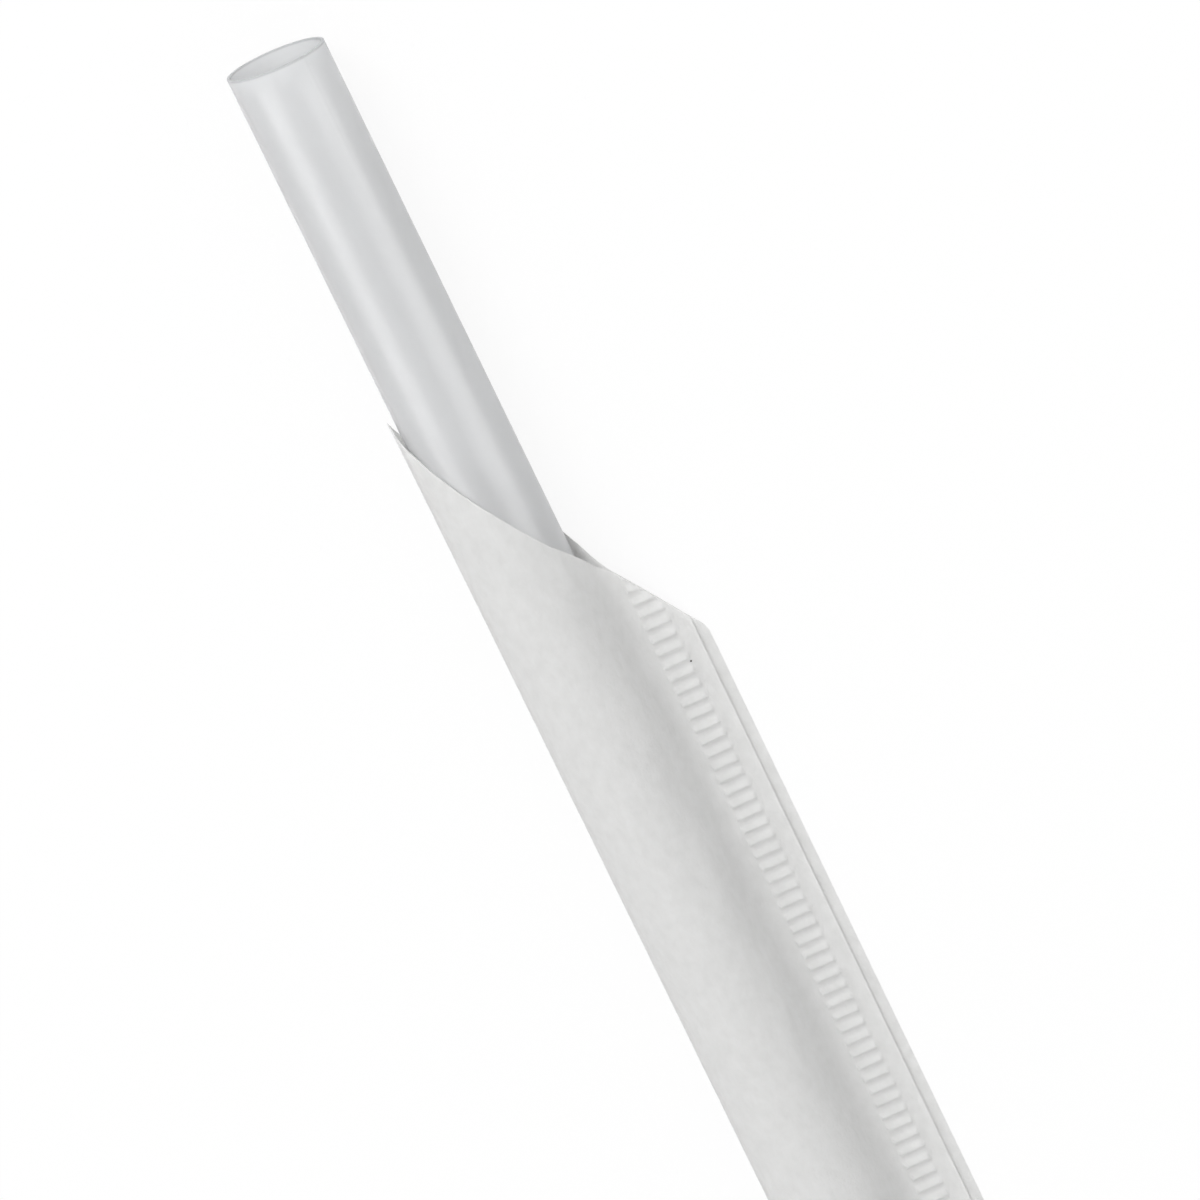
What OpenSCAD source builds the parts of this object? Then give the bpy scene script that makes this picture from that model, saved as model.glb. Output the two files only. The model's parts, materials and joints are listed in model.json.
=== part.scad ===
// Drinking straw in its paper wrapper. The wrapper is one strip of paper folded round
// the straw and crimped together along one side. It is cut open at a slant near the
// drinking end and pressed flat at the other end. It lies as it comes to rest, on a
// narrow flat under the straw and on the outer edge of the seam.
// +X runs along the straw to its open end, the seam is on the -Y side, and Z = 0 is
// the table. The origin is on the table under the straw's axis, halfway along.

/* [Straw] */
// Outside diameter of the straw
straw_d = 6; // [5:0.1:8]
// Wall thickness of the straw
straw_wall = 0.2; // [0.12:0.01:0.4]
// Length of the straw
straw_l = 197; // [120:1:260]
// How far the open end is cut off square, in degrees
mouth_skew = 2.6; // [0:0.1:6]

/* [Paper] */
// Thickness of the paper
paper_t = 0.08; // [0.06:0.01:0.12]
// Slack between the straw and the paper round it
slack = 0.2; // [0.08:0.01:0.3]
// Bare straw between its open end and the tip of the paper
bare_l = 22.1; // [5:0.1:60]

/* [Seam] */
// From the round of the sleeve to the crimps
seam_gap = 1.4; // [1:0.1:3]
// Radius of the bend where the plies run into the seam
seam_bend = 1.5; // [0.5:0.1:2]
// Length of each crimp, across the seam
crimp_w = 1.7; // [1:0.1:4]
// Distance from one crimp to the next
crimp_pitch = 0.85; // [0.6:0.05:2]
// Width of the groove between two crimps
groove_w = 0.2; // [0.1:0.05:0.3]
// Height of the crimps above the paper
crimp_h = 0.1; // [0.04:0.01:0.2]
// Plain front ply outside the crimps
front_margin = 1; // [0.4:0.1:3]
// How far the back ply reaches past the front ply
back_step = 0.7; // [0.3:0.1:3]

/* [Slanted cut] */
// Length along the straw that the cut gains for each millimetre across it
cut_slope = 1.51; // [0.5:0.01:3]
// Length that it gains for each millimetre up the front ply
front_lean = 0.09; // [-0.5:0.01:0.5]
// Length that it loses for each millimetre down the back ply
back_lean = 0.43; // [-0.5:0.01:1.5]
// Length of the sharp tip left on the fold
tip_l = 2; // [0.2:0.1:4]
// Width of that tip on each ply
tip_w = 3.2; // [0.5:0.1:5]

/* [Closed end] */
// Room between the straw's inner end and the place where the sleeve starts to flatten
end_room = 0.5; // [0.3:0.1:5]
// Length over which the sleeve flattens
taper_l = 8; // [5:0.5:20]
// Length pressed flat at the end
seal_l = 5; // [2:0.5:15]

/* [Hidden] */
$fn = 96;

// Facets round the straw, round a seam bend and along the taper
arc_n = 18;
bend_n = 5;
taper_n = 8;

// Clearance under the straw where the paper is pressed flat
seat = 0.02;
// Half the slit left between the plies at the end of the taper
slit = 0.01;
// How far the crimps stay from the cut, the seam's bend and the closed end
crimp_inset = 0.1;
// Height of the grooves' floor above the paper
groove_lift = 0.01;
// Shares of a crimp's width taken by its long slope, towards the cut, and its short one
crimp_rise = 0.45;
crimp_fall = 0.2;
// Share of a pitch before the first crimp on the front and on the back
front_start = 0.45;
back_start = 0.95;

straw_r = straw_d / 2;
in_r = straw_r + slack;
out_r = in_r + paper_t;
axis_z = straw_r + seat + paper_t;

// Distances from the straw's axis, across the seam
seam_v = out_r + seam_gap;
crimp_v = seam_v + crimp_inset;
front_v = crimp_v + crimp_w + front_margin;
back_v = front_v + back_step;
// The bend has to leave room for a straight run down to the seam
bend_r = min(seam_bend, 0.4 * (seam_v * seam_v / in_r - in_r));
bend_c = [seam_v, bend_r];
// Direction in which a ply leaves the round of the straw for the seam
leave_a = atan2(bend_r, seam_v) + acos((in_r + bend_r) / norm(bend_c));

// The seam droops until its outer edge lies on the table
droop = asin(axis_z / norm([back_v, paper_t])) - atan2(paper_t, back_v);
down = [sin(droop), -cos(droop)];

// Distances from the straw's open end
taper_s = straw_l + end_room;
seal_s = taper_s + taper_l;
end_s = seal_s + seal_l;
open_x = end_s / 2;

// Turns the frame of the section (across the seam, out of its front, along the straw)
// into the lying part's frame
module laid() {
    multmatrix([
        [0, 0, -1, open_x],
        [-cos(droop), -sin(droop), 0, 0],
        [-sin(droop), cos(droop), 0, axis_z]
    ])
        children();
}

module straw() {
    cut = 4 * straw_d;
    color([0.85, 0.86, 0.87])
    laid()
        difference() {
            cylinder(r = straw_r, h = straw_l);
            translate([0, 0, -1])
                cylinder(r = straw_r - straw_wall, h = straw_l + 2);
            translate([-straw_r, 0, 0])
                rotate([0, -mouth_skew, 0])
                    translate([-cut / 2, -cut / 2, -cut])
                        cube(cut);
        }
}

// One ply from the fold to the seam, at height w above the inside of the paper
function ply(w) = concat(
    [for (i = [0 : arc_n])
        let (a = 180 + (leave_a - 180) * i / arc_n)
        (in_r + w) * [cos(a), sin(a)]],
    [for (i = [0 : bend_n])
        let (a = leave_a + (90 - leave_a) * i / bend_n)
        bend_c - (bend_r - w) * [cos(a), sin(a)]]
);
ply_n = arc_n + bend_n + 1;

// A point of that ply, pressed up where the straw weighs it on the table
function pressed(p, w) = p - max(0, p * down - straw_r - seat - w) * down;

// The ply on the front (side 1) or the back (side -1)
function round_ply(w, side) = [for (p = ply(w)) pressed([p.x, side * p.y], w)];

// Length of a path up to its point i
function run(path, i) = i == 0 ? 0 : run(path, i - 1) + norm(path[i] - path[i - 1]);

// The same ply pressed flat at height h, at its full width
function flat_ply(path, h) =
    [for (i = [0 : ply_n])
        [seam_v - run(path, ply_n) + run(path, i), i == 0 ? 0 : h]];

// The ply part of the way from round (flat 0) to flat (flat 1)
function part_flat(w, side, h, flat) =
    let (path = round_ply(w, side), level = flat_ply(path, h))
    [for (i = [0 : ply_n]) path[i] + (level[i] - path[i]) * flat];

// Outline of the sleeve and its seam, from the fold over the front and back to the fold
function outer_ring(flat) =
    let (front = part_flat(paper_t, 1, paper_t, flat))
    let (back = part_flat(paper_t, -1, -paper_t, flat))
    concat(
        front,
        [[front_v, paper_t], [front_v, 0], [back_v, 0], [back_v, -paper_t]],
        [for (i = [ply_n : -1 : 1]) back[i]]
    );
outer_n = 2 * ply_n + 5;

// Outline of the hollow, whose plies meet at the seam
function inner_ring(flat) =
    let (front = part_flat(0, 1, slit, flat))
    let (back = part_flat(0, -1, -slit, flat))
    concat(
        [for (i = [0 : ply_n - 1]) front[i]],
        [[seam_v, 0]],
        [for (i = [ply_n - 1 : -1 : 1]) back[i]]
    );
inner_n = 2 * ply_n;

// Where the slanted cut crosses a point of the section, with the sharp tip on the fold
function cut_s(p) = bare_l + tip_l + cut_slope * (p.x + out_r)
    + (p.y > 0 ? front_lean : back_lean) * p.y
    - tip_l * pow(max(0, 1 - norm(p - [-out_r, 0]) / tip_w), 2);

function eased(t) = t * t * (3 - 2 * t);
function cut_through(ring) = [for (p = ring) [p.x, p.y, cut_s(p)]];
function at(ring, s) = [for (p = ring) [p.x, p.y, s]];

// Folded paper without its crimps: an outer and an inner skin through the same rings
module sleeve() {
    steps = [for (i = [0 : taper_n]) i / taper_n];
    outer = concat(
        cut_through(outer_ring(0)),
        [for (t = steps) each at(outer_ring(eased(t)), taper_s + taper_l * t)],
        at(outer_ring(1), end_s)
    );
    inner = concat(
        cut_through(inner_ring(0)),
        [for (t = steps) each at(inner_ring(eased(t)), taper_s + taper_l * t)]
    );
    outer_last = taper_n + 2;
    inner_last = taper_n + 1;

    function o(ring, i) = ring * outer_n + i % outer_n;
    function n(ring, i) = len(outer) + ring * inner_n + i % inner_n;
    // Ring positions of the ply's point i on the front or the back
    function of(i) = i;
    function ob(i) = outer_n - i;
    function nf(i) = i;
    function nb(i) = inner_n - i;
    function quad(a, b, c, d) = [[a, b, c], [a, c, d]];

    outer_skin = [for (k = [0 : outer_last - 1], i = [0 : outer_n - 1])
        each quad(o(k, i), o(k, i + 1), o(k + 1, i + 1), o(k + 1, i))];
    inner_skin = [for (k = [0 : inner_last - 1], i = [0 : inner_n - 1])
        each quad(n(k + 1, i), n(k + 1, i + 1), n(k, i + 1), n(k, i))];

    // Cut edge of the paper round the sleeve, then across the seam
    step = ply_n + 2;
    cut_edge = [for (i = [0 : ply_n - 1])
        each concat(
            quad(n(0, nf(i)), n(0, nf(i + 1)), o(0, of(i + 1)), o(0, of(i))),
            quad(o(0, ob(i)), o(0, ob(i + 1)), n(0, nb(i + 1)), n(0, nb(i)))
        )];
    seam_edge = [for (pair = [
            [n(0, ply_n), o(0, ob(ply_n))], [o(0, of(ply_n)), n(0, ply_n)],
            [o(0, step - 1), o(0, of(ply_n))], [o(0, step + 2), o(0, step + 1)],
            [o(0, ob(ply_n)), o(0, step + 2)]
        ])
        [o(0, step), pair.x, pair.y]];

    // Straight end of the paper, and the end of the hollow between the plies
    end_edge = concat(
        [for (i = [0 : ply_n - 1])
            each quad(o(outer_last, of(i)), o(outer_last, of(i + 1)),
                o(outer_last, ob(i + 1)), o(outer_last, ob(i)))],
        [for (pair = [
                [ply_n, step - 1], [ob(ply_n), ply_n], [step + 2, ob(ply_n)],
                [step + 1, step + 2]
            ])
            [o(outer_last, step), o(outer_last, pair.y), o(outer_last, pair.x)]]
    );
    hollow_end = [for (i = [0 : ply_n - 1])
        each quad(n(inner_last, nb(i)), n(inner_last, nb(i + 1)),
            n(inner_last, nf(i + 1)), n(inner_last, nf(i)))];

    polyhedron(
        points = concat(outer, inner),
        faces = concat(outer_skin, inner_skin, cut_edge, seam_edge, end_edge, hollow_end)
    );
}

// Row of crimps on the front of the seam, trimmed along the slanted cut. The row
// starts part of a pitch further along.
module crimp_row(start) {
    near_s = cut_s([crimp_v, 0]) + crimp_inset;
    far_s = end_s - crimp_inset;
    crimp_n = floor((far_s - near_s) / crimp_pitch - start);
    top_w = crimp_pitch - groove_w;
    rise_w = crimp_rise * top_w;
    fall_w = crimp_fall * top_w;
    root_h = paper_t / 4;
    floor_h = paper_t + groove_lift;
    top_h = paper_t + crimp_h;
    crimps = [for (i = [0 : crimp_n - 1])
        let (s = near_s + (i + start) * crimp_pitch)
        each [
            [s + groove_w, floor_h], [s + groove_w + rise_w, top_h],
            [s + crimp_pitch - fall_w, top_h], [s + crimp_pitch, floor_h]
        ]];
    out_v = crimp_v + crimp_w;
    over = 1;
    intersection() {
        translate([out_v, 0, 0])
            rotate([0, -90, 0])
                linear_extrude(crimp_w)
                    polygon(concat(
                        [[near_s, root_h], [near_s, floor_h]],
                        crimps,
                        [[far_s, floor_h], [far_s, root_h]]
                    ));
        rotate([90, 0, 0])
            linear_extrude(2 * over, center = true)
                polygon([
                    [crimp_v - over, cut_s([crimp_v - over, 0]) + crimp_inset],
                    [out_v + over, cut_s([out_v + over, 0]) + crimp_inset],
                    [out_v + over, end_s], [crimp_v - over, end_s]
                ]);
    }
}

module wrapper() {
    color([0.92, 0.92, 0.91])
    laid()
        union() {
            sleeve();
            crimp_row(front_start);
            mirror([0, 1, 0])
                crimp_row(back_start);
        }
}

straw();
wrapper();
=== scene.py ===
"""Looks of the wrapped drinking straw: a frosted plastic tube in a folded, crimped paper sleeve.

Lengths of the object are millimetres, and those of the studio metres. A name that ends in _PX holds
pixels of the picture. The section's own frame has v across the seam, h out of its front and s along
the straw from its open end, as on the solids."""
import json
import math

import bpy
from mathutils import Matrix, Vector, noise


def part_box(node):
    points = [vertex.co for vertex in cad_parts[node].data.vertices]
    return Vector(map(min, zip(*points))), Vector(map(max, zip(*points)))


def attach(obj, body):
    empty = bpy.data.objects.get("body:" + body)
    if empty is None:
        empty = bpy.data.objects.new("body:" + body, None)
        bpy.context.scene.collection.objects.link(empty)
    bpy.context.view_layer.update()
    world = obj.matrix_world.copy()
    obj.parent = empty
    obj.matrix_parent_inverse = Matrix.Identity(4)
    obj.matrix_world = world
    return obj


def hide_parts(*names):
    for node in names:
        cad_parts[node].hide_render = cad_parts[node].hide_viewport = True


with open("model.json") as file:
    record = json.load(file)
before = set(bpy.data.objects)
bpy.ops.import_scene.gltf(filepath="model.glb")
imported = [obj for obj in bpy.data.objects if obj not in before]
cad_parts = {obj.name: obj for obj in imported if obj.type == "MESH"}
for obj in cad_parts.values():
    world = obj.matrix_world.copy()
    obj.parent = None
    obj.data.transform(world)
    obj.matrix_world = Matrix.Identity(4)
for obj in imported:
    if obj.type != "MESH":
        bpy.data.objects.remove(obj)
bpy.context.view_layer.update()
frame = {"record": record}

MM = 0.001

# Sizes taken from the frame
straw_lo, straw_hi = (Vector(corner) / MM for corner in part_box("straw"))
wrapper_lo, wrapper_hi = (Vector(corner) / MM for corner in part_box("wrapper"))
bore = next(m for m in frame["record"]["mounts"] if m["kind"] == "bore")
STRAW_R = (straw_hi.y - straw_lo.y) / 2
BORE_R = bore["dims"]["r_mm"]
AXIS_Z = (straw_hi.z + straw_lo.z) / 2
OPEN_X = straw_hi.x
STRAW_L = straw_hi.x - straw_lo.x
END_S = OPEN_X - wrapper_lo.x
BARE_L = OPEN_X - wrapper_hi.x

# Sizes of the folded paper, the same as on its solid
PAPER_T = 0.08
SLACK = 0.2
SEAT = 0.02
SEAM_GAP = 1.4
SEAM_BEND = 1.5
SEAM_BEND_SHARE = 0.4
CRIMP_INSET = 0.1
CRIMP_W = 1.7
CRIMP_PITCH = 0.85
FRONT_START = 0.45
BACK_START = 0.95
FRONT_MARGIN = 1
BACK_STEP = 0.7
CUT_SLOPE = 1.51
FRONT_LEAN = 0.09
BACK_LEAN = 0.43
TIP_L = 2
TIP_W = 3.2
END_ROOM = 0.5
TAPER_L = 8
MOUTH_SKEW = math.radians(2.6)

IN_R = STRAW_R + SLACK
OUT_R = IN_R + PAPER_T
SEAM_V = OUT_R + SEAM_GAP
CRIMP_V = SEAM_V + CRIMP_INSET
CRIMP_OUT_V = CRIMP_V + CRIMP_W
FRONT_V = CRIMP_OUT_V + FRONT_MARGIN
BACK_V = FRONT_V + BACK_STEP
BEND_R = min(SEAM_BEND, SEAM_BEND_SHARE * (SEAM_V * SEAM_V / IN_R - IN_R))
LEAVE_A = math.atan2(BEND_R, SEAM_V) + math.acos((IN_R + BEND_R) / math.hypot(SEAM_V, BEND_R))
DROOP = math.asin(AXIS_Z / math.hypot(BACK_V, PAPER_T)) - math.atan2(PAPER_T, BACK_V)
TAPER_S = STRAW_L + END_ROOM

# Directions of the section's frame in the lying part's frame
ACROSS = Vector((0, -math.cos(DROOP), -math.sin(DROOP)))
FRONT = Vector((0, -math.sin(DROOP), math.cos(DROOP)))
ALONG = Vector((-1, 0, 0))


def smooth(t):
    t = min(max(t, 0.0), 1.0)
    return t * t * (3 - 2 * t)


def laid(v, h, s):
    """A point of the section's frame in metres, in the lying part's frame."""
    point = Vector((OPEN_X, 0, AXIS_Z)) + v * ACROSS + h * FRONT + s * ALONG
    return point * MM


# Camera

IMAGE_PX = 1200
FOCAL_PX = 8650
RIM_PX = (274.1, 56.9)
RIM_WIDTH_PX = 105.3
ROLL = math.radians(25.87)
TOWARDS_MOUTH = math.radians(14.65)
SENSOR_MM = 36
NEAR_CLIP = 0.01


def add_camera():
    """Looks square at the seam, a little from the open end, with the rim where the picture has it."""
    back = math.cos(TOWARDS_MOUTH) * FRONT - math.sin(TOWARDS_MOUTH) * ALONG
    up_straw = (-ALONG - (-ALONG).dot(back) * back).normalized()
    left_straw = back.cross(up_straw)
    turn = math.pi / 2 + ROLL
    right = math.cos(turn) * up_straw - math.sin(turn) * left_straw
    up = math.sin(turn) * up_straw + math.cos(turn) * left_straw
    depth = 2 * STRAW_R * FOCAL_PX / RIM_WIDTH_PX
    rim_right = (RIM_PX[0] - IMAGE_PX / 2) / FOCAL_PX * depth
    rim_up = (IMAGE_PX / 2 - RIM_PX[1]) / FOCAL_PX * depth
    place = laid(0, 0, 0) + (depth * back - rim_right * right - rim_up * up) * MM
    data = bpy.data.cameras.new("camera")
    data.sensor_width = SENSOR_MM
    data.lens = FOCAL_PX / IMAGE_PX * SENSOR_MM
    data.clip_start = NEAR_CLIP
    camera = bpy.data.objects.new("camera", data)
    turned = Matrix((right, up, back)).transposed().to_4x4()
    camera.matrix_world = Matrix.Translation(place) @ turned
    bpy.context.scene.collection.objects.link(camera)
    bpy.context.scene.camera = camera


# Materials

# Stretch of a noise that is the same along the straw and across it
EVEN = (1, 1, 1)
# Levels of a noise at which a ramp starts and ends
RAMP_LEVELS = (0.3, 0.7)

# Paper: its colours, and the scale, stretch and height of what shows on it
PAPER_DULL = (0.92, 0.92, 0.914)
PAPER_PALE = (0.968, 0.968, 0.963)
PAPER_ROUGH = (0.82, 0.95)
PAPER_GLOSS = 0.25
PAPER_THROUGH = 0.5
CLOUD_SCALE = 1700
CLOUD_STRETCH = (0.7, 1, 1)
FIBRE_SCALE = 2200
FIBRE_STRETCH = (0.8, 1, 1)
FIBRE_UP = 0.06
GRAIN_SCALE = 9000
GRAIN_UP = 0.004
SPECK_COLOUR = (0.12, 0.11, 0.10)
SPECK_AT = (6.42, PAPER_T, 42.8)
SPECK_R = 0.04

# Plastic: the same, and how far the painted shade on its cut edge and the dull end of the tube reach
# from the mouth
STRAW_DULL = (0.83, 0.836, 0.842)
STRAW_PALE = (0.84, 0.846, 0.852)
STRAW_ROUGH = (0.31, 0.37)
STRAW_CLEAR = 0.58
STRAW_IOR = 1.49
HAZE_SCALE = 300
HAZE_STRETCH = (0.1, 1, 1)
LINE_SCALE = 1500
LINE_STRETCH = (0.01, 1, 1)
LINE_UP = 0.004
# Painted shade: a darker colour for the dark line that refraction draws along the rim of the mouth
RIM_SHADE_COLOUR = (0.62, 0.63, 0.64)
RIM_SHADE_REACH = (0.06, 0.17)
MOUTH_ROUGH = 0.3
MOUTH_REACH = (0.2, 1.6)


def new_material(name):
    material = bpy.data.materials.new(name)
    material.use_nodes = True
    tree = material.node_tree
    return material, tree, tree.nodes["Principled BSDF"]


def noise_node(tree, scale, stretch, detail=3.0):
    """Noise in the part's own coordinates. Its features are about 1 / scale metres long, and longer
    where stretch is less than 1."""
    coords = tree.nodes.new("ShaderNodeTexCoord")
    mapping = tree.nodes.new("ShaderNodeMapping")
    mapping.inputs["Scale"].default_value = stretch
    texture = tree.nodes.new("ShaderNodeTexNoise")
    texture.inputs["Scale"].default_value = scale
    texture.inputs["Detail"].default_value = detail
    tree.links.new(coords.outputs["Object"], mapping.inputs["Vector"])
    tree.links.new(mapping.outputs["Vector"], texture.inputs["Vector"])
    return texture.outputs["Fac"]


def ramp(tree, value, low, high):
    """A colour that goes from low to high with value."""
    node = tree.nodes.new("ShaderNodeValToRGB")
    for stop, level, colour in zip(node.color_ramp.elements, RAMP_LEVELS, (low, high)):
        stop.position = level
        stop.color = (*colour, 1)
    tree.links.new(value, node.inputs["Fac"])
    return node.outputs["Color"]


def mixed(tree, share, plain, colour):
    """The plain colour where share is 0, and the other one where it is 1."""
    node = tree.nodes.new("ShaderNodeMix")
    node.data_type = "RGBA"
    node.inputs["A"].default_value = (*plain, 1)
    tree.links.new(share, node.inputs["Factor"])
    tree.links.new(colour, node.inputs["B"])
    return node.outputs["Result"]


def scaled(tree, value, low, high, start=0.0, end=1.0):
    """Goes from low to high as value goes from start to end."""
    node = tree.nodes.new("ShaderNodeMapRange")
    node.interpolation_type = "SMOOTHSTEP"
    node.inputs["From Min"].default_value = start
    node.inputs["From Max"].default_value = end
    node.inputs["To Min"].default_value = low
    node.inputs["To Max"].default_value = high
    tree.links.new(value, node.inputs["Value"])
    return node.outputs["Result"]


def bump(tree, value, height, under=None):
    """A normal for relief of that height, laid on the relief under it."""
    node = tree.nodes.new("ShaderNodeBump")
    node.inputs["Strength"].default_value = 1.0
    node.inputs["Distance"].default_value = height * MM
    tree.links.new(value, node.inputs["Height"])
    if under is not None:
        tree.links.new(under, node.inputs["Normal"])
    return node.outputs["Normal"]


def paper_material():
    """White uncoated paper: cloudy in colour, with fibres that stand up a little and one dark speck."""
    material, tree, shader = new_material("wrapper_paper")
    clouds = noise_node(tree, CLOUD_SCALE, CLOUD_STRETCH)
    colour = ramp(tree, clouds, PAPER_DULL, PAPER_PALE)
    coords = tree.nodes.new("ShaderNodeTexCoord")
    distance = tree.nodes.new("ShaderNodeVectorMath")
    distance.operation = "DISTANCE"
    distance.inputs[1].default_value = laid(*SPECK_AT)
    tree.links.new(coords.outputs["Object"], distance.inputs[0])
    clean = scaled(tree, distance.outputs["Value"], 0.0, 1.0, SPECK_R * MM, 2 * SPECK_R * MM)
    colour = mixed(tree, clean, SPECK_COLOUR, colour)
    tree.links.new(colour, shader.inputs["Base Color"])
    fibres = noise_node(tree, FIBRE_SCALE, FIBRE_STRETCH, detail=4.0)
    grain = noise_node(tree, GRAIN_SCALE, EVEN, detail=2.0)
    normal = bump(tree, fibres, FIBRE_UP)
    normal = bump(tree, grain, GRAIN_UP, normal)
    tree.links.new(normal, shader.inputs["Normal"])
    tree.links.new(scaled(tree, fibres, *PAPER_ROUGH), shader.inputs["Roughness"])
    shader.inputs["Specular IOR Level"].default_value = PAPER_GLOSS
    through = tree.nodes.new("ShaderNodeBsdfTranslucent")
    tree.links.new(colour, through.inputs["Color"])
    tree.links.new(normal, through.inputs["Normal"])
    blend = tree.nodes.new("ShaderNodeMixShader")
    blend.inputs["Fac"].default_value = PAPER_THROUGH
    tree.links.new(shader.outputs["BSDF"], blend.inputs[1])
    tree.links.new(through.outputs["BSDF"], blend.inputs[2])
    tree.links.new(blend.outputs["Shader"], tree.nodes["Material Output"].inputs["Surface"])
    return material


def from_mouth(tree):
    """Distance in metres from the plane of the straw's skewed mouth."""
    coords = tree.nodes.new("ShaderNodeTexCoord")
    offset = tree.nodes.new("ShaderNodeVectorMath")
    offset.operation = "SUBTRACT"
    offset.inputs[1].default_value = laid(-STRAW_R, 0, 0)
    tree.links.new(coords.outputs["Object"], offset.inputs[0])
    along = tree.nodes.new("ShaderNodeVectorMath")
    along.operation = "DOT_PRODUCT"
    along.inputs[1].default_value = ALONG - math.tan(MOUTH_SKEW) * ACROSS
    tree.links.new(offset.outputs["Vector"], along.inputs[0])
    return along.outputs["Value"]


def straw_material():
    """Frosted polypropylene that lets light through, with faint drawing lines along the tube. Its
    cut edge is duller, and darker by painted shade that stands in for the dark line that refraction
    draws along the rim."""
    material, tree, shader = new_material("straw_plastic")
    haze = noise_node(tree, HAZE_SCALE, HAZE_STRETCH)
    colour = ramp(tree, haze, STRAW_DULL, STRAW_PALE)
    depth = from_mouth(tree)
    # Painted shade: the colour turns darker towards the mouth's cut edge, in place of the dark line
    # that refraction draws along the rim
    shade_start, shade_end = (reach * MM for reach in RIM_SHADE_REACH)
    body = scaled(tree, depth, 0.0, 1.0, shade_start, shade_end)
    tree.links.new(mixed(tree, body, RIM_SHADE_COLOUR, colour), shader.inputs["Base Color"])
    lines = noise_node(tree, LINE_SCALE, LINE_STRETCH, detail=2.0)
    mouth_start, mouth_end = (reach * MM for reach in MOUTH_REACH)
    rough = tree.nodes.new("ShaderNodeMath")
    rough.operation = "ADD"
    tree.links.new(scaled(tree, lines, *STRAW_ROUGH), rough.inputs[0])
    tree.links.new(scaled(tree, depth, MOUTH_ROUGH, 0.0, mouth_start, mouth_end), rough.inputs[1])
    tree.links.new(rough.outputs["Value"], shader.inputs["Roughness"])
    tree.links.new(bump(tree, lines, LINE_UP), shader.inputs["Normal"])
    shader.inputs["Transmission Weight"].default_value = STRAW_CLEAR
    shader.inputs["IOR"].default_value = STRAW_IOR
    return material


# Meshes

SHARP = math.radians(50)


def add_mesh(name, points, faces, material):
    """A piece that is shaded smooth, apart from edges that turn by more than SHARP."""
    mesh = bpy.data.meshes.new(name)
    mesh.from_pydata(points, [], faces)
    mesh.validate()
    mesh.shade_smooth()
    mesh.set_sharp_from_angle(angle=SHARP)
    mesh.materials.append(material)
    piece = bpy.data.objects.new(name, mesh)
    bpy.context.scene.collection.objects.link(piece)
    return piece


# Straw

AROUND = 256
TUBE_ROWS = (1.0, 20.0, 60.0, 120.0, STRAW_L - 1.0)
MOUTH_L = 0.5
LIP_R = 0.05
LIP_TURNS = (0, 30, 60, 90)
BURR_A = math.radians(61)
BURR_W = math.radians(1.6)
BURR_UP = 0.05


def straw_profile():
    """(radius, s) round the wall: from the mouth along the outside, and back along the bore."""
    lip = [math.radians(turn) for turn in LIP_TURNS]
    depths = [LIP_R - LIP_R * math.cos(a) for a in lip]
    open_out = [(STRAW_R - LIP_R + LIP_R * math.sin(a), s) for a, s in zip(lip, depths)]
    open_in = [(BORE_R + LIP_R - LIP_R * math.sin(a), s) for a, s in zip(lip, depths)]
    outside = open_out + [(STRAW_R, s) for s in TUBE_ROWS]
    outside += [(r, STRAW_L - s) for r, s in reversed(open_out)]
    inside = [(r, STRAW_L - s) for r, s in open_in] + [(BORE_R, s) for s in reversed(TUBE_ROWS)]
    inside += list(reversed(open_in))
    return outside + inside


def add_straw():
    """The tube, with its mouth skewed and a burr on the rim."""
    profile = straw_profile()
    points = []
    for radius, s in profile:
        near_mouth = 1 if s < MOUTH_L else 0
        for k in range(AROUND):
            a = 2 * math.pi * k / AROUND
            burr = near_mouth * BURR_UP * math.exp(-(((a - BURR_A) / BURR_W) ** 2))
            v, h = (radius + burr) * math.cos(a), (radius + burr) * math.sin(a)
            skew = near_mouth * (math.tan(MOUTH_SKEW) * (v + STRAW_R) - burr)
            points.append(laid(v, h, s + skew))
    rows = len(profile)
    faces = []
    for row in range(rows):
        here, there = row * AROUND, (row + 1) % rows * AROUND
        for k in range(AROUND):
            after = (k + 1) % AROUND
            faces.append((here + k, here + after, there + after, there + k))
    piece = add_mesh("frosted_straw", points, faces, straw_material())
    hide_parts("straw")
    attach(piece, "root")


# Wrapper

# A side of 1 is the front ply and one of -1 the back ply. Each ply has an outer and an inner skin.
PLY_GAP = 0.004

# Columns of vertices across the paper, and rows along it: shares of a crimp's pitch, distances below
# the cut, and the step elsewhere
ARC_N = 44
BEND_N = 10
CRIMP_COLUMNS = (0.0, 0.05, 0.12, 0.3, 0.6, 0.95, 1.3, 1.45, 1.55, 1.63, CRIMP_W)
MARGIN_IN = 0.3
MARGIN_OUT = 0.25
CRIMP_ROWS = (0.0, 0.25, 0.4, 0.54, 0.66, 0.74, 0.81, 0.88, 0.95)
NEAR_CUT = (0, 0.12, 0.3, 0.55, 0.9, 1.4, 2.0, 2.8, 3.8, 5.0, 6.5)
COARSE_STEP = 1.2
CUT_ROOM = 0.04
END_ROW_ROOM = 0.02

# The cut's line: its unevenness, the round corner at the back's free edge, and for each side how far
# it strays, where across and how wide
CUT_ROUGH = 0.04
CUT_ROUGH_PER_MM = 1.7
CUT_ROUGH_SEED = 3.0
CORNER_R = 0.2
CORNER_DROP = 0.3
CORNER_COLUMNS = (CORNER_R, 0.12, 0.05)
CUT_DIP = {1: (0.3, 3.75, 0.5), -1: (-0.42, 3.4, 0.55)}

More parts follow.
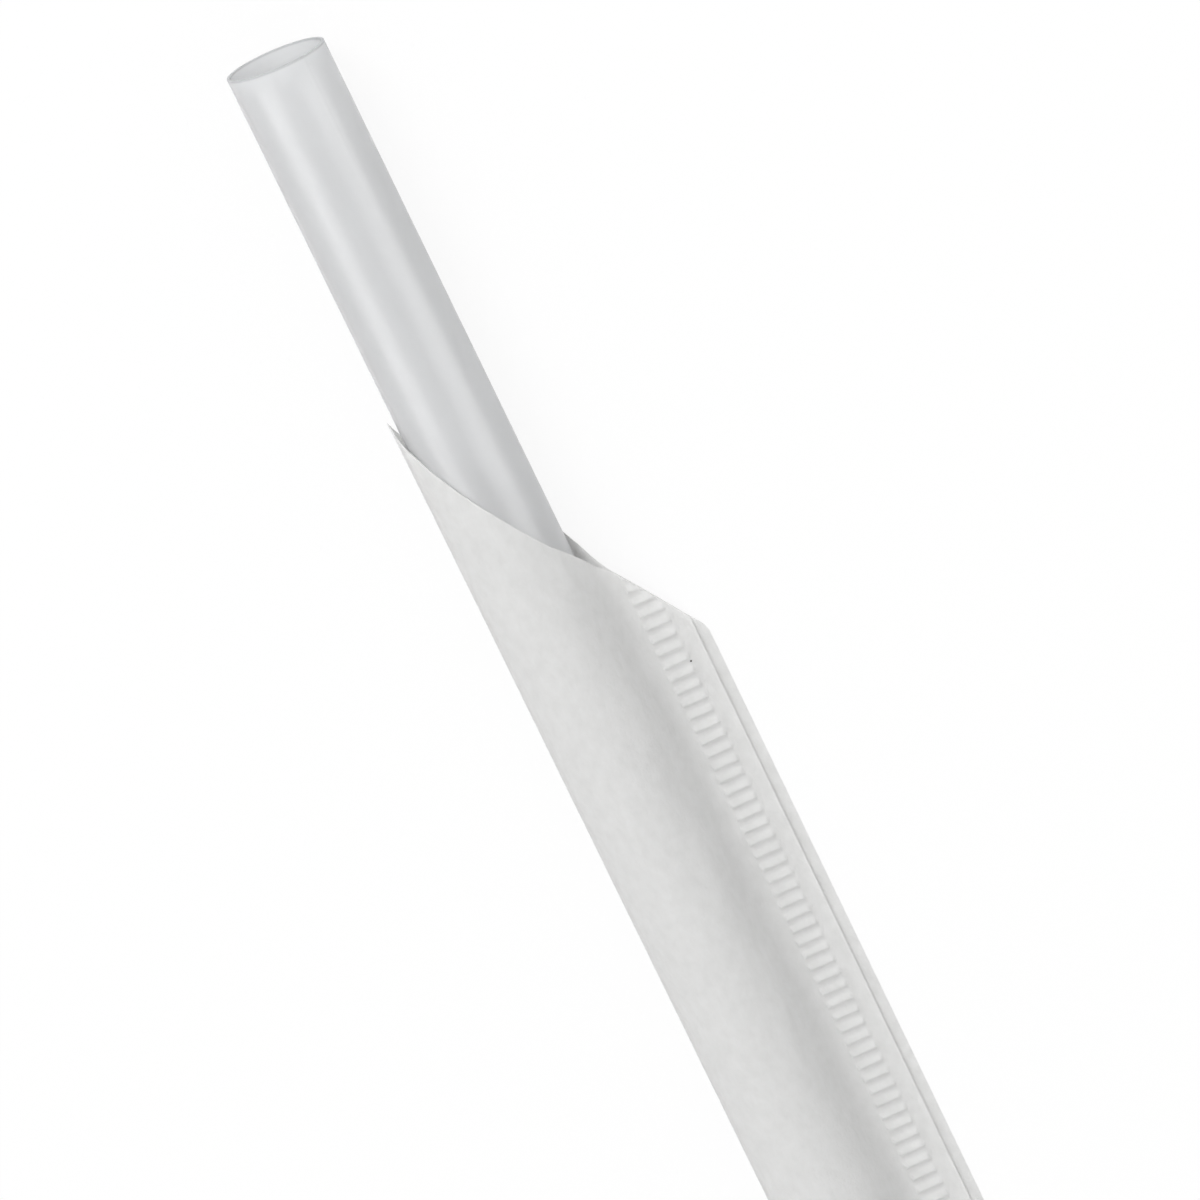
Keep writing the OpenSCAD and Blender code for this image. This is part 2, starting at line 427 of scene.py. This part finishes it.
# Crimps: height, slant, how the ends fade in and out, and the share of the pitch where the ridge
# starts to rise or has fallen off, with the share that it takes
CRIMP_UP = 0.15
CRIMP_SLANT = 0.04
CRIMP_FADE_IN = 0.1
CRIMP_FADE_OUT = 0.18
CRIMP_RISE = (0.2, 0.5)
CRIMP_FALL = (0.98, 0.22)
CRIMP_UNEVEN = 0.1
CRIMP_UNEVEN_STEP = 1.3

# Angle of the crease on either side of the fold
FOLD_A = math.radians(10)
# The tip stands open: how far, from where to the fold, over what width and how far below the cut
TIP_OPEN = 0.07
TIP_OPEN_V = 2.2
TIP_OPEN_W = 0.8
TIP_OPEN_L = 6.0
# The front lies close on the straw along the cut: its gap, half width, fade and length
CUT_GAP = 0.015
SETTLED_V = 3.15
SETTLED_W = 0.45
SETTLED_L = 5.0
# The front is wavy where it runs free: height, length, width and seed, and where it starts and fades
WAVE = 0.28
WAVE_L = 6
WAVE_W = 3
WAVE_SEED = 7.0
FREE_V = 1.0
FREE_IN = 1.4
FREE_OUT = 1.2
# The back rises towards the front beside the straw: share of its depth, place, width and length
RISE = 0.78
RISE_V = 2.6
RISE_W = 0.6
RISE_L = 3.5
# Lift of the front's free edge
EDGE_LIFT = 0.05


def skin_height(skin):
    """Height of a skin of the paper above the inside of its ply."""
    return PAPER_T if skin == "outer" else PLY_GAP


def ply(w):
    """(v, h) from the fold to the seam, at height w above the inside of the paper, as on the solid."""
    points = []
    for i in range(ARC_N + 1):
        a = math.pi + (LEAVE_A - math.pi) * i / ARC_N
        points.append(((IN_R + w) * math.cos(a), (IN_R + w) * math.sin(a)))
    for i in range(BEND_N + 1):
        a = LEAVE_A + (math.pi / 2 - LEAVE_A) * i / BEND_N
        points.append((SEAM_V - (BEND_R - w) * math.cos(a), BEND_R - (BEND_R - w) * math.sin(a)))
    return points


def pressed(v, h, w):
    """The point moved up to where the straw weighs the paper on the table."""
    down_v, down_h = math.sin(DROOP), -math.cos(DROOP)
    over = max(0.0, v * down_v + h * down_h - STRAW_R - SEAT - w)
    return v - over * down_v, h - over * down_h


def running_lengths(path):
    lengths = [0.0]
    for a, b in zip(path, path[1:]):
        lengths.append(lengths[-1] + math.dist(a, b))
    return lengths


def cut_s(v, h):
    """Where the slanted cut crosses a point of the section."""
    tip = TIP_L * max(0.0, 1 - math.hypot(v + OUT_R, h) / TIP_W) ** 2
    corner = max(0.0, v - (BACK_V - CORNER_R)) / CORNER_R
    rough = CUT_ROUGH * noise.noise((v * CUT_ROUGH_PER_MM, h * CUT_ROUGH_PER_MM, CUT_ROUGH_SEED))
    depth, dip_v, width = CUT_DIP[1 if h > 0 else -1]
    dip = depth * math.exp(-(((v - dip_v) / width) ** 2))
    slant = CUT_SLOPE * (v + OUT_R) + (FRONT_LEAN if h > 0 else BACK_LEAN) * h
    return BARE_L + TIP_L + slant - tip + dip + CORNER_DROP * corner**2 + rough


class Column:
    """A line of the paper along the straw, on one skin: its points in the round section and in the
    flat end, and its run from the fold."""

    def __init__(self, side, skin, round_at, flat_at, run, fine=False):
        self.side, self.skin, self.fine = side, skin, fine
        self.round_at, self.flat_at, self.run = round_at, flat_at, run
        self.cut = cut_s(*round_at)
        self.rows = []

    def below_cut(self, s):
        return max(0.0, s - self.cut)

    def at(self, s):
        """(v, h) of the line at s."""
        t = smooth((s - TAPER_S) / TAPER_L)
        (v0, h0), (v1, h1) = self.round_at, self.flat_at
        v, h = v0 + (v1 - v0) * t, h0 + (h1 - h0) * t
        if abs(v0) < SEAM_V:
            lift = self.stand_off(s) * (1 - t)
            length = math.hypot(v0, h0)
            v, h = v + lift * v0 / length, h + lift * h0 / length
            if self.side < 0:
                rise = RISE * smooth((v - RISE_V) / RISE_W)
                h *= 1 - rise * math.exp(-self.below_cut(s) / RISE_L)
        else:
            h += self.side * crimp_height(v, s, self.side) * (self.skin == "outer")
            if self.side > 0:
                h += EDGE_LIFT * smooth((v - CRIMP_OUT_V) / FRONT_MARGIN)
        return v, h

    def stand_off(self, s):
        """How far the paper stands off its taut line: in a crease at the fold and open at the tip. The
        front lies close along the cut and is wavy on its way to the seam, but clear of the straw."""
        v, h = self.round_at
        radius = math.hypot(v, h)
        below = self.below_cut(s)
        crease = radius * (1 / math.cos(max(0.0, FOLD_A - math.atan2(abs(h), -v))) - 1)
        tip = TIP_OPEN * smooth((-v - TIP_OPEN_V) / TIP_OPEN_W) * math.exp(-below / TIP_OPEN_L)
        if self.side < 0:
            return crease + tip
        close = smooth((SETTLED_V - abs(v)) / SETTLED_W) * math.exp(-below / SETTLED_L)
        free = smooth((v - FREE_V) / FREE_IN) * smooth((SEAM_V - v) / FREE_OUT)
        wave = WAVE * noise.noise((s / WAVE_L, self.run / WAVE_W, WAVE_SEED))
        least = STRAW_R + CUT_GAP + skin_height(self.skin) - radius
        return max(least, crease + tip + (CUT_GAP - SLACK) * close + free * wave)


def crimp_start(side):
    """Where the first crimp starts. The back's crimps lie half a pitch further along."""
    near_s = BARE_L + TIP_L + CUT_SLOPE * (CRIMP_V + OUT_R) + CRIMP_INSET
    return near_s + CRIMP_PITCH * (FRONT_START if side > 0 else BACK_START)


def crimp_height(v, s, side):
    """Height of a crimp over the plain seam at v, s: a ridge that rises slowly away from the mouth
    and falls off fast."""
    ends = smooth((v - CRIMP_V) / CRIMP_FADE_IN) * smooth((CRIMP_OUT_V - v) / CRIMP_FADE_OUT)
    turns = (s - CRIMP_SLANT * (v - CRIMP_V) - crimp_start(side)) / CRIMP_PITCH
    share = turns - math.floor(turns)
    (rise_at, rise_share), (fall_at, fall_share) = CRIMP_RISE, CRIMP_FALL
    ridge = smooth((share - rise_at) / rise_share) * smooth((fall_at - share) / fall_share)
    uneven = 1 + CRIMP_UNEVEN * noise.noise((math.floor(turns) * CRIMP_UNEVEN_STEP, v, side))
    return CRIMP_UP * ends * ridge * uneven


def sleeve_columns(side, skin):
    """One ply of the sleeve, from the fold to the seam's bend."""
    w = skin_height(skin)
    path = [pressed(v, side * h, w) for v, h in ply(w)]
    runs = running_lengths(path)
    flat_h = side * w
    columns = []
    for i, (point, run) in enumerate(zip(path, runs)):
        flat = (SEAM_V - runs[-1] + run, 0.0 if i == 0 else flat_h)
        columns.append(Column(side, skin, point, flat, run))
    return columns


def seam_columns(side, skin):
    """The seam beyond its bend, out to the free edge."""
    w = skin_height(skin)
    edge = FRONT_V if side > 0 else BACK_V
    crimps = [CRIMP_V + across for across in CRIMP_COLUMNS]
    margin = [CRIMP_OUT_V + MARGIN_IN, FRONT_V - MARGIN_OUT]
    if side < 0:
        margin += [FRONT_V, FRONT_V + MARGIN_IN]
        margin += [BACK_V - inset for inset in CORNER_COLUMNS]
    columns = []
    for v in crimps + margin + [edge]:
        fine = skin == "outer" and v in crimps
        at = (v, side * w)
        columns.append(Column(side, skin, at, at, 0.0, fine))
    return columns


def skin_columns(skin):
    """Columns of one skin from the front's free edge over the fold to the back's free edge."""
    front = sleeve_columns(1, skin) + seam_columns(1, skin)
    back = sleeve_columns(-1, skin) + seam_columns(-1, skin)
    return list(reversed(front)) + back[1:]


def coarse_stations():
    """Evenly spaced rows that end half a step or more before the closed end."""
    start = math.floor(BARE_L)
    steps = int((END_S - start) / COARSE_STEP - 0.5)
    return [start + i * COARSE_STEP for i in range(steps + 1)]


def crimp_stations(side):
    """Rows through every crimp of a side, from before the cut to the closed end."""
    start = crimp_start(side)
    first = math.floor((BARE_L - start) / CRIMP_PITCH)
    last = math.ceil((END_S - start) / CRIMP_PITCH)
    rows = [start + (i + share) * CRIMP_PITCH for i in range(first, last) for share in CRIMP_ROWS]
    return [s for s in rows if s < END_S - END_ROW_ROOM]


def fill_rows(columns, points):
    """Gives each column its vertices as (key, s, index). Columns that share a row have equal keys."""
    coarse = coarse_stations()
    fine = {side: crimp_stations(side) for side in (1, -1)}
    for column in columns:
        if column.fine:
            start = column.cut + CUT_ROOM
            rows = [(("cut", 0), column.cut)]
            rows += [(("fine", i), s) for i, s in enumerate(fine[column.side]) if s > start]
        else:
            start = column.cut + NEAR_CUT[-1] + COARSE_STEP / 2
            rows = [(("cut", i), column.cut + near) for i, near in enumerate(NEAR_CUT)]
            rows += [(("coarse", i), s) for i, s in enumerate(coarse) if s > start]
        rows.append((("end", 0), END_S))
        for key, s in rows:
            column.rows.append((key, s, len(points)))
            points.append(laid(*column.at(s), s))


def strip(a, b, faces, flip):
    """Faces between two neighbouring columns: quads where rows match, and triangles elsewhere."""
    i = j = 0

    def add(*corners):
        faces.append(tuple(reversed(corners)) if flip else corners)

    while i < len(a.rows) - 1 or j < len(b.rows) - 1:
        here, there = a.rows[i][2], b.rows[j][2]
        can_a, can_b = i < len(a.rows) - 1, j < len(b.rows) - 1
        if can_a and can_b and a.rows[i + 1][0] == b.rows[j + 1][0]:
            i, j = i + 1, j + 1
            add(here, there, b.rows[j][2], a.rows[i][2])
        elif not can_b or (can_a and a.rows[i + 1][1] <= b.rows[j + 1][1]):
            i += 1
            add(here, there, a.rows[i][2])
        else:
            j += 1
            add(here, there, b.rows[j][2])


def add_wrapper():
    """Both skins of the folded paper, closed along the free edges, the cut and the sealed end."""
    points, faces = [], []
    outer, inner = skin_columns("outer"), skin_columns("inner")
    fill_rows(outer, points)
    fill_rows(inner, points)
    for a, b in zip(outer, outer[1:]):
        strip(a, b, faces, True)
    for a, b in zip(inner, inner[1:]):
        strip(a, b, faces, False)
    strip(outer[0], inner[0], faces, False)
    strip(inner[-1], outer[-1], faces, False)
    for a, b, c, d in zip(outer, outer[1:], inner[1:], inner):
        faces.append((a.rows[0][2], b.rows[0][2], c.rows[0][2], d.rows[0][2]))
        faces.append((d.rows[-1][2], c.rows[-1][2], b.rows[-1][2], a.rows[-1][2]))
    piece = add_mesh("paper_wrapper", points, faces, paper_material())
    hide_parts("wrapper")
    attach(piece, "root")


# Floor and light

LAMP_AWAY = 1.2
# Each lamp's turn from the seam's front towards the fold, its lean towards the mouth, its size along
# and across the straw, and its power in watts
LAMPS = {
    "key": (math.radians(41), 1.5, 0.6, 0.6, 7.4),
    "near strip": (math.radians(52), -0.18, 0.6, 0.84, 5.5),
    "far strip": (math.radians(-63), -0.18, 0.6, 2.0, 15.0),
}
# Lamps that show only as gloss
GLOSS_ONLY = ("near strip", "far strip")
# Light of the sky low on its dome and at the top, the height at which it is low, and how far the top
# leans towards the fold
SKY_LOW = 0.635
SKY_TOP = 0.912
SKY_LOW_AT = -0.2
SKY_TURN = 0.05
FLOOR_SIZE = 3.0
FLOOR_COLOUR = (0.88, 0.88, 0.88)
FLOOR_ROUGH = 0.9
# How far the floor shows as plain white, where the rest keeps the shadow
FLOOR_WHITE = 0.9
# Rays that show the background besides the camera's, less the light that paper scatters
SEEN_RAYS = (
    ("Is Glossy Ray", "MAXIMUM"),
    ("Is Transmission Ray", "MAXIMUM"),
    ("Is Diffuse Ray", "SUBTRACT"),
)


def seen_directly(tree):
    """1 for the rays that show the background: the camera's own, gloss and clear plastic. 0 for the
    light that falls on the object."""
    path = tree.nodes.new("ShaderNodeLightPath")
    total = path.outputs["Is Camera Ray"]
    for name, operation in SEEN_RAYS:
        node = tree.nodes.new("ShaderNodeMath")
        node.operation = operation
        node.use_clamp = True
        tree.links.new(total, node.inputs[0])
        tree.links.new(path.outputs[name], node.inputs[1])
        total = node.outputs["Value"]
    return total


def add_floor():
    """A white sheet that keeps a pale shadow."""
    half = FLOOR_SIZE / 2
    corners = [(-half, -half, 0), (half, -half, 0), (half, half, 0), (-half, half, 0)]
    mesh = bpy.data.meshes.new("floor")
    mesh.from_pydata(corners, [], [(0, 1, 2, 3)])
    material, tree, shader = new_material("floor")
    shader.inputs["Base Color"].default_value = (*FLOOR_COLOUR, 1)
    shader.inputs["Roughness"].default_value = FLOOR_ROUGH
    shader.inputs["Specular IOR Level"].default_value = 0.0
    white = tree.nodes.new("ShaderNodeEmission")
    mix = tree.nodes.new("ShaderNodeMixShader")
    tree.links.new(scaled(tree, seen_directly(tree), 0.0, FLOOR_WHITE), mix.inputs["Fac"])
    tree.links.new(shader.outputs["BSDF"], mix.inputs[1])
    tree.links.new(white.outputs["Emission"], mix.inputs[2])
    tree.links.new(mix.outputs["Shader"], tree.nodes["Material Output"].inputs["Surface"])
    mesh.materials.append(material)
    floor = bpy.data.objects.new("floor", mesh)
    bpy.context.scene.collection.objects.link(floor)


def add_sky():
    """A white dome that is brightest above the seam's front, and plain white where it is seen."""
    world = bpy.data.worlds.new("studio")
    world.use_nodes = True
    tree = world.node_tree
    background = tree.nodes["Background"]
    background.inputs["Color"].default_value = (1, 1, 1, 1)
    coords = tree.nodes.new("ShaderNodeTexCoord")
    towards = tree.nodes.new("ShaderNodeVectorMath")
    towards.operation = "DOT_PRODUCT"
    towards.inputs[1].default_value = (FRONT - SKY_TURN * ACROSS).normalized()
    tree.links.new(coords.outputs["Generated"], towards.inputs[0])
    dome = scaled(tree, towards.outputs["Value"], SKY_LOW, SKY_TOP, SKY_LOW_AT)
    level = tree.nodes.new("ShaderNodeMix")
    level.inputs["B"].default_value = 1.0
    tree.links.new(seen_directly(tree), level.inputs["Factor"])
    tree.links.new(dome, level.inputs["A"])
    tree.links.new(level.outputs["Result"], background.inputs["Strength"])
    bpy.context.scene.world = world


def add_lamps():
    """Area lamps that face the middle of the part."""
    for name, (turn, lean, along, across, power) in LAMPS.items():
        data = bpy.data.lights.new(name, "AREA")
        data.shape = "RECTANGLE"
        data.size, data.size_y = along, across
        data.energy = power
        away = (math.cos(turn) * FRONT - math.sin(turn) * ACROSS - lean * ALONG).normalized()
        side = away.cross(ACROSS).normalized()
        turned = Matrix((side, away.cross(side), away)).transposed().to_4x4()
        lamp = bpy.data.objects.new(name, data)
        lamp.matrix_world = Matrix.Translation(away * LAMP_AWAY) @ turned
        lamp.visible_diffuse = name not in GLOSS_ONLY
        bpy.context.scene.collection.objects.link(lamp)


add_camera()
add_straw()
add_wrapper()
add_floor()
add_sky()
add_lamps()
bpy.context.scene.view_settings.view_transform = "Standard"
